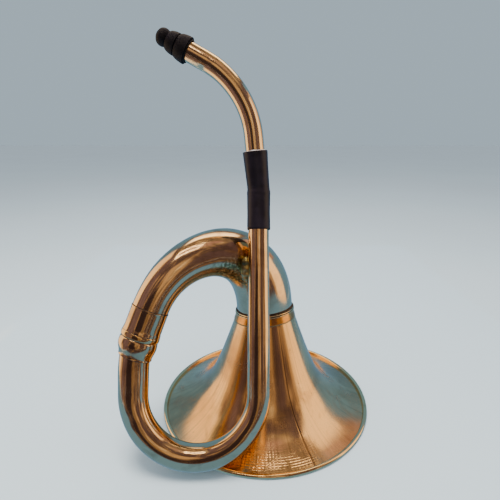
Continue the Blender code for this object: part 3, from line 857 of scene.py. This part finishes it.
def upper_bow(surface):
    """The wide bow: slim in the union, stepped out where it leaves it, then swelling to the neck."""
    path = upper_bow_path()
    along = distances(path)
    radii = [UPPER_BOW_SOCKETED] * SOCKET_RINGS
    for s in along[SOCKET_RINGS:]:
        share = smooth((s - along[SOCKET_RINGS]) / UPPER_BOW_SWELL)
        radii.append(mix(UPPER_BOW_OPENING, UPPER_BOW_CLOSING, share))
    mesh = pipe(path, radii, TUBE_WALL, sides=96)
    keep = lambda p: 1.0 if (p - path[0]).length > 22.0 * MM else 0.35
    handmade(mesh, 24.0 * MM, 0.22 * MM, 6.1, keep)
    handmade(mesh, 9.0 * MM, 0.05 * MM, 2.9, keep)
    places = tangents(path)
    for share, upward, radius, depth in BOW_DENTS:
        k = round(share * (len(path) - 1))
        out = (FRONT + UP * upward).normalized()
        out = (out - places[k] * out.dot(places[k])).normalized()
        dent(mesh, path[k] + out * radii[k], radius * MM, depth * MM, places[k], 1.8)
    piece("bow_pipe", mesh, surface, "horn", ["upper_bow"])


def leg_solder(surface):
    """Solder run between the leg and the bow: a lump of metal pulled into the crease, rough all over."""
    low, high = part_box("leg_solder")
    centre = (low + high) / 2
    half = (high - low) / 2
    shape = bmesh.new()
    bmesh.ops.create_icosphere(shape, subdivisions=5, radius=1.0)
    mesh = finished(shape)
    stretch = Matrix.Diagonal((half.x * 1.05, half.y * 1.1, half.z, 1.0))
    mesh.transform(Matrix.Translation(centre) @ stretch)
    handmade(mesh, 3.2 * MM, 0.9 * MM, 1.9)
    handmade(mesh, 1.1 * MM, 0.25 * MM, 4.9)
    piece("solder_saddle", mesh, surface, "horn", ["leg_solder"])


# ---- the rubber joint, the crook and the ear tip

def off_axis(point, above):
    """How far a point of the joint is from its axis, which turns at the kink to run along above."""
    way = UP if point.z < 0.0 else above
    return (point - way * point.dot(way)).length


def cut_end(outer, inner, out):
    """Two rings a little beyond a tube's cut end: the first rounds its edge and the second its bore."""
    return [[rim.lerp(bore, share) + out for rim, bore in zip(outer, inner)] for share in (0.25, 0.8)]


def joint_sleeve(surface):
    """A length of rubber tube: stepped and creased where the two brass ends meet inside it."""
    crook_way = SLEEVE.to_3x3().inverted() @ CROOK_AXIS
    bend = 2.5 * MM
    path = [UP * -(JOINT_BELOW + (bend - JOINT_BELOW) * k / 16) for k in range(17)]
    turning = (UP * -bend, UP * -0.6 * bend, crook_way * 0.6 * bend, crook_way * bend)
    path += list(interpolate_bezier(*turning, 9)[1:-1])
    path += [crook_way * (bend + (JOINT_ABOVE - bend) * k / 16) for k in range(17)]
    along = distances(path)
    middle = along[len(path) // 2]
    radii = []
    for s in along:
        above = smooth((s - middle) / (1.2 * MM))
        lower = JOINT_RADIUS + 0.1 * MM * math.exp(-((s - middle + 1.6 * MM) / (1.3 * MM)) ** 2)
        climb = max(0.0, (s - middle) / (along[-1] - middle))
        upper = JOINT_RADIUS - JOINT_STEP + (JOINT_TOP_RADIUS - JOINT_RADIUS + JOINT_STEP) * climb ** 1.2
        groove = 0.14 * MM * math.exp(-((s - middle) / (0.45 * MM)) ** 2)
        radii.append(mix(lower, upper, above) - groove)
    round_leg = LEG_RADIUS + 0.15 * MM
    round_liner = CROOK_RADIUS + LINER_WALL + 0.1 * MM
    bores = [mix(round_leg, round_liner, smooth((s - middle) / (1.2 * MM))) for s in along]
    outer = circles(path, radii, TUBE_SIDES)
    inner = circles(path, bores, TUBE_SIDES)
    edge = 0.18 * MM
    ends = tangents(path)
    foot = cut_end(outer[0], inner[0], ends[0] * -edge)
    top = cut_end(outer[-1], inner[-1], ends[-1] * edge)
    mesh = loft(foot[::-1] + outer + top + inner[::-1])
    skin = lambda p: 1.0 if off_axis(p, crook_way) > 6.6 * MM else 0.0
    handmade(mesh, 8.0 * MM, 0.12 * MM, 9.1, skin)
    piece("rubber_joint", mesh, surface, "sleeve", ["joint_sleeve"], SLEEVE)


def sleeve_liner(surface):
    """The pale collar between crook and rubber, its upper edge a little torn."""
    inner = CROOK_RADIUS + 0.05 * MM
    outer = inner + LINER_WALL
    top = JOINT_ABOVE + LINER_PROUD
    steps = 20
    heights = [mix(top - LINER_DEPTH, top, k / steps) for k in range(steps + 1)]
    profile = [(outer, h) for h in heights[:-1]] + [(outer - 0.12 * MM, top), (inner + 0.05 * MM, top)]
    profile += [(inner, h) for h in heights[::-1][1:]]
    rings = spun(profile, TUBE_SIDES)
    for ring in rings:
        for point in ring:
            ragged = 0.35 * MM * noise.noise(Vector((point.x, point.y, 0.0)) / (2.4 * MM))
            point.z += ragged * smooth((point.z - top + 2.0 * MM) / (2.0 * MM))
    mesh = loft(rings)
    piece("liner_collar", mesh, surface, "crook", ["sleeve_liner"], CROOK)


def crook_path():
    stretches = [
        (CROOK_STRAIGHT - CROOK_FOOT, 0.0),
        (CROOK_BEND_RADIUS * CROOK_BEND, -CROOK_BEND),
        (CROOK_END, 0.0),
    ]
    return walk((0.0, 0.0, CROOK_FOOT), 0.0, stretches)


def crook(surface):
    """The curved tube, bent by hand: a little oval on the bend and rippled where the bend ends."""
    path = crook_path()
    along = distances(path)
    bend_start = CROOK_STRAIGHT - CROOK_FOOT
    bend_end = bend_start + CROOK_BEND_RADIUS * CROOK_BEND
    radii = []
    for s in along:
        past = s - bend_end
        fade = math.exp(-((past + 3.0 * MM) / (4.0 * MM)) ** 2)
        radii.append(CROOK_RADIUS + 0.10 * MM * math.sin(past / (1.5 * MM)) * fade)
    flatten = lambda k: 0.015 * within(along[k], bend_start, bend_end, 12.0 * MM, 8.0 * MM)
    mesh = pipe(path, radii, TUBE_WALL, flatten=flatten)
    handmade(mesh, 13.0 * MM, 0.09 * MM, 3.7)
    handmade(mesh, 5.0 * MM, 0.025 * MM, 0.8)
    piece("crook_pipe", mesh, surface, "crook", ["crook"], CROOK)


def tip_place():
    """The ear tip's base, on the crook's last straight with Z outward."""
    end = Matrix.Translation(crook_path()[-1])
    turned_back = Matrix.Rotation(-CROOK_BEND, 4, "Y")
    return CROOK @ end @ turned_back @ Matrix.Translation((0.0, 0.0, TIP_BASE - CROOK_END))


TIP = tip_place()


def tip_nipple(surface):
    """The stepped bush in the crook's end, with a shallow barb that holds the ear tip."""
    seat = CROOK_END - TIP_BASE
    stem = CROOK_RADIUS - TUBE_WALL - 0.05 * MM
    reach = NIPPLE_REACH
    profile = [(NIPPLE_BORE, -NIPPLE_INSERT), (stem, -NIPPLE_INSERT), (stem, seat + 0.2 * MM)]
    profile += [(CROOK_RADIUS - 0.15 * MM, seat + 0.2 * MM), (CROOK_RADIUS - 0.2 * MM, seat + 0.5 * MM)]
    profile += [(NIPPLE_RADIUS + 0.3 * MM, seat + 0.6 * MM), (NIPPLE_RADIUS, seat + 0.9 * MM)]
    profile += [(NIPPLE_RADIUS, mix(seat + 1.4 * MM, reach - 2.6 * MM, k / 8)) for k in range(9)]
    profile += [(NIPPLE_RADIUS + 0.25 * MM, reach - 2.2 * MM), (NIPPLE_RADIUS + 0.2 * MM, reach - 1.6 * MM)]
    profile += [(NIPPLE_RADIUS - 0.5 * MM, reach - 0.2 * MM), (NIPPLE_RADIUS - 0.8 * MM, reach)]
    profile += [(NIPPLE_BORE, reach)]
    mesh = loft(spun(profile, 48))
    piece("nipple_bush", mesh, surface, "crook", ["tip_nipple"], TIP)


def ear_tip(surface):
    """Soft moulded tip: two skirts that hang clear of the stem behind a rounded bulb."""
    stem = CROOK_RADIUS + 0.9 * MM
    outside = [(stem - 0.15 * MM, 0.0), (stem, 0.2 * MM)]
    tuck = stem
    for flange in TIP_FLANGES:
        foot, head, wide, narrow = (value * MM for value in flange)
        outside.append((tuck, foot + 0.9 * MM))
        outside.append((mix(tuck, wide, 0.5), foot + 0.75 * MM))
        outside.append((wide - 0.45 * MM, foot + 0.2 * MM))
        outside.append((wide - 0.15 * MM, foot - 0.02 * MM))
        for k in range(15):
            share = math.sin(math.radians(90.0 * k / 14))
            radius = mix(narrow, wide, math.sqrt(max(0.0, 1.0 - share * share)))
            outside.append((radius, mix(foot + 0.1 * MM, head, share)))
        tuck = narrow
    foot, end, wide = (value * MM for value in TIP_BULB)
    middle = 0.5 * (foot + end)
    for angle in range(-36, 77, 8):
        a = math.radians(angle)
        outside.append((wide * math.cos(a) ** 0.7, middle + (end - middle) * math.sin(a)))
    outside += [(TIP_BORE + 0.6 * MM, TIP_LENGTH - 0.02 * MM)]
    outside += [(TIP_BORE + 0.15 * MM, TIP_LENGTH - 0.25 * MM)]
    socket = CROOK_RADIUS + 0.1 * MM
    cavity = NIPPLE_RADIUS + 0.35 * MM
    lip = NIPPLE_REACH + 2.0 * MM
    inside = [(TIP_BORE, TIP_LENGTH - 0.8 * MM), (TIP_BORE, lip), (cavity, lip - MM)]
    inside += [(cavity, TIP_SOCKET_DEPTH + GAP)]
    inside += [(socket, TIP_SOCKET_DEPTH + 0.1 * MM), (socket, 0.2 * MM), (socket + 0.15 * MM, 0.0)]
    mesh = loft(spun(outside + inside, TUBE_SIDES))
    bore = lambda p: 4.0 * MM if p.z > 6.0 * MM else CROOK_RADIUS + 0.7 * MM
    handmade(mesh, 7.0 * MM, 0.12 * MM, 6.6, lambda p: 1.0 if p.xy.length > bore(p) else 0.0)
    piece("rubber_tip", mesh, surface, "ear_tip", ["ear_tip"], TIP)


# ---- floor, light and camera

FLOOR_COLOUR = (0.60, 0.68, 0.72)
CREAM = (1.0, 0.84, 0.60)
DAYLIGHT = (0.68, 0.74, 0.78)
PEACH = (1.0, 0.75, 0.48)
BLUSH = (0.50, 0.33, 0.28)
SKY = (0.20, 0.40, 0.62)
FAR_FLOOR = (0.86, 0.84, 0.84)  # how bright the floor is where it meets the background
DUSK = (0.15, 0.11, 0.125)  # the dim room in front of the light box
EMBER = (0.62, 0.44, 0.27)  # warm things in that room


def quad(name, corners):
    shape = bmesh.new()
    shape.faces.new([shape.verts.new(corner) for corner in corners])
    made = shown(name, finished(shape))
    return made


def level(z, left, right, near, far):
    return [(left, near, z), (right, near, z), (right, far, z), (left, far, z)]


def floor():
    reach = 6.0
    made = quad("floor", level(0.0, -reach, reach, -reach, reach))
    s = Surface("floor_pale", FLOOR_COLOUR, 0.6, 0.0)
    mottle = s.noise(s.spot, 3.0, 2.0, 0.5)
    s.set(Base_Color=s.ramp(mottle, ((0.3, toned(FLOOR_COLOUR, 0.97)), (0.7, FLOOR_COLOUR))))
    made.data.materials.append(s.material)


def card(name, corners, colour, strength, other=None):
    """A glowing card that shows only in what mirrors it; with another colour, the two are clouded."""
    made = quad(name, corners)
    s = Surface(name, (0.0, 0.0, 0.0), 1.0, 0.0)
    glow = s.node("ShaderNodeEmission", {"Color": (*colour, 1.0), "Strength": strength})
    if other:
        cloud = s.noise(s.scaled(s.spot, (1.0, 1.0, 0.45)), 9.0, 3.0, 0.55, 0.3)
        mottled = s.ramp(cloud, ((0.40, colour), (0.53, toned(colour, 0.5)), (0.66, other)))
        s.feed(glow.inputs["Color"], mottled)
    s.feed(s.tree.nodes["Material Output"].inputs["Surface"], glow.outputs["Emission"])
    made.data.materials.append(s.material)
    for ray in ("camera", "diffuse", "transmission", "volume_scatter", "shadow"):
        setattr(made, "visible_" + ray, False)


def wall(name, x, near, far, low, high, *glow):
    """An upright card facing along X."""
    card(name, [(x, near, low), (x, far, low), (x, far, high), (x, near, high)], *glow)


def screen(name, y, left, right, low, high, *glow):
    """An upright card facing along Y."""
    card(name, [(left, y, low), (right, y, low), (right, y, high), (left, y, high)], *glow)


def shelf(name, z, left, right, near, far, *glow):
    """A level card."""
    card(name, level(z, left, right, near, far), *glow)


def light_box():
    """What the brass mirrors: a lit box with pale sides, a cool back and sheet, and a dim room in front.

    Measures are in metres from the frame's origin; the last ones are a card's colour, strength and second
    colour.
    """
    skim = 0.05 * MM
    side, back, high, mouth = 0.26, 0.42, 0.50, -0.28
    sheet_edge, pale_top = -0.19, 0.42
    shelf("sheet", skim, -0.25, 0.25, sheet_edge, back, SKY, 0.9)
    shelf("sheet_front", skim, -0.5, 0.5, -0.60, sheet_edge, DUSK, 0.8, EMBER)
    screen("back", back, -side, side, 0.0, high, SKY, 0.8)
    wall("side_left", -side, -0.05, 0.12, 0.0, pale_top, PEACH, 1.35)
    wall("side_left_back", -side, 0.12, back, 0.0, high, SKY, 0.8)
    wall("side_left_front", -side, mouth, -0.04, 0.0, high, DUSK, 1.6, EMBER)
    wall("side_right", side, -0.12, 0.05, 0.0, pale_top, PEACH, 1.35)
    wall("side_right_high", 0.255, 0.05, 0.17, 0.17, 0.44, BLUSH, 1.4, PEACH)
    wall("side_right_back", side, 0.05, back, 0.0, high, SKY, 0.8)
    wall("side_right_front", side, mouth, -0.12, 0.0, high, DUSK, 1.3, EMBER)
    near, far, left, right = -0.195, -0.115, -0.20, 0.0
    bar, post = 0.02, 0.015
    shelf("lamp_near", high, left, right, near - bar, near, CREAM, 6.0)
    shelf("lamp_far", high, left, right, far, far + bar, CREAM, 6.0)
    shelf("lamp_left", high, left, left + post, near, far, CREAM, 5.0)
    shelf("lamp_right", high, right - post, right, near, far, CREAM, 5.0)
    shelf("lamp_face", 0.51, -0.19, 0.16, -0.20, -0.11, BLUSH, 1.0)
    shelf("top_back", 0.52, -0.22, 0.22, 0.08, 0.30, CREAM, 1.9)
    shelf("lamp_back", high, -0.18, 0.18, 0.11, 0.16, CREAM, 3.0)
    shelf("top", 0.53, -side, side, mouth, back, (0.42, 0.33, 0.26), 0.8, PEACH)
    screen("glow_low", -0.62, -0.05, 0.06, 0.0, 0.24, EMBER, 0.5, CREAM)
    screen("glow_high", -0.62, -0.16, 0.14, 0.24, 0.60, EMBER, 1.0, CREAM)
    screen("door", -0.61, -0.45, -0.07, 0.0, 0.35, DUSK, 0.35)
    screen("room", -0.64, -1.0, 1.0, 0.0, 1.1, DUSK, 1.0, EMBER)


def overhead():
    """A soft light above, to the front left; the polished metal mirrors the light box instead."""
    data = bpy.data.lights.new("overhead", "AREA")
    data.shape = "RECTANGLE"
    data.size, data.size_y = 0.5, 0.4
    data.energy = 11.0
    data.color = (1.0, 0.95, 0.88)
    made = shown("overhead", data)
    made.location = (-0.12, -0.10, 1.1)
    heart = Vector((0.0, 0.0, 0.11))  # the middle of the object, which it faces
    made.rotation_euler = (heart - made.location).to_track_quat("-Z", "Y").to_euler()
    made.visible_camera = False
    made.visible_glossy = False


def backdrop(tree, colour):
    made = tree.nodes.new("ShaderNodeBackground")
    made.inputs["Color"].default_value = (*colour, 1.0)
    return made.outputs["Background"]


def either(tree, test, others, chosen):
    """One shader for the rays that pass the test, and another for the others."""
    made = tree.nodes.new("ShaderNodeMixShader")
    for socket, source in zip(made.inputs, (test, others, chosen)):
        tree.links.new(source, socket)
    return made.outputs["Shader"]


def studio():
    """A world that fills with daylight, and looks dim in metal and pale behind the floor."""
    world = bpy.data.worlds.new("studio")
    bpy.context.scene.world = world
    world.use_nodes = True
    tree = world.node_tree
    rays = tree.nodes.new("ShaderNodeLightPath").outputs
    horizon = [share * pale * day for share, pale, day in zip(FAR_FLOOR, FLOOR_COLOUR, DAYLIGHT)]
    mirrored = either(tree, rays["Is Glossy Ray"], backdrop(tree, DAYLIGHT), backdrop(tree, DUSK))
    seen = either(tree, rays["Is Camera Ray"], mirrored, backdrop(tree, horizon))
    tree.links.new(seen, tree.nodes["World Output"].inputs["Surface"])
    overhead()
    bpy.context.scene.view_settings.look = "AgX - Medium High Contrast"


def camera():
    data = bpy.data.cameras.new("camera")
    data.lens = 28.0
    data.sensor_width = 36.0
    data.shift_x = -0.016
    made = shown("camera", data)
    made.location = BELL.translation + Vector((-5.3, -255.0, 195.0)) * MM
    looking_down = 16.8
    made.rotation_euler = (math.radians(90.0 - looking_down), 0.0, 0.0)
    bpy.context.scene.camera = made


# ---- everything together

solder_low, solder_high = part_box("leg_solder")
SPLASH = ((solder_low + solder_high) / 2 + Vector((-9.0, -2.0, -7.0)) * MM, 18.0 * MM)  # centre and reach

polished = brass("polished_brass", (0.86, 0.63, 0.40), (0.56, 0.37, 0.22))
wide_bow = brass("bow_brass", (0.86, 0.63, 0.41), (0.58, 0.38, 0.23), (0.08, 0.22), 0.5, seed=0.3,
                 patina=SPLASH)
crook_brass = brass("crook_brass", (0.88, 0.67, 0.43), (0.60, 0.40, 0.23), (0.10, 0.20), 0.56, 0.01,
                    seed=0.7)
bright = brass("bright_brass", (0.92, 0.67, 0.38), (0.64, 0.38, 0.16), (0.06, 0.16), 0.6, seed=1.1)
copper = brass("collar_brass", (0.80, 0.44, 0.18), (0.46, 0.22, 0.09), (0.14, 0.3), 0.5, seed=1.7)
bell_metal = spun_brass("bell_brass")
solder = solder_metal("solder")
# painted shade for the dark rings in the seams
seam_shade = painted_seam_shade("seam_shade")

bell(bell_metal)
rim_roll(bright)
neck_collar(copper)
neck_wires(bright, seam_shade)
horn_tube(polished)
ferrule_cup(polished)
ferrule_bead(bright)
ferrule_sleeve(polished)
union_seams(seam_shade)
upper_bow(wide_bow)
leg_solder(solder)
joint_sleeve(rubber("joint_rubber", (0.014, 0.009, 0.017), 0.40, 0.004 * MM))
sleeve_liner(liner_plastic("liner"))
crook(crook_brass)
tip_nipple(bright)
ear_tip(rubber("tip_rubber", (0.005, 0.004, 0.010), 0.60, 0.001 * MM))

floor()
light_box()
studio()
camera()
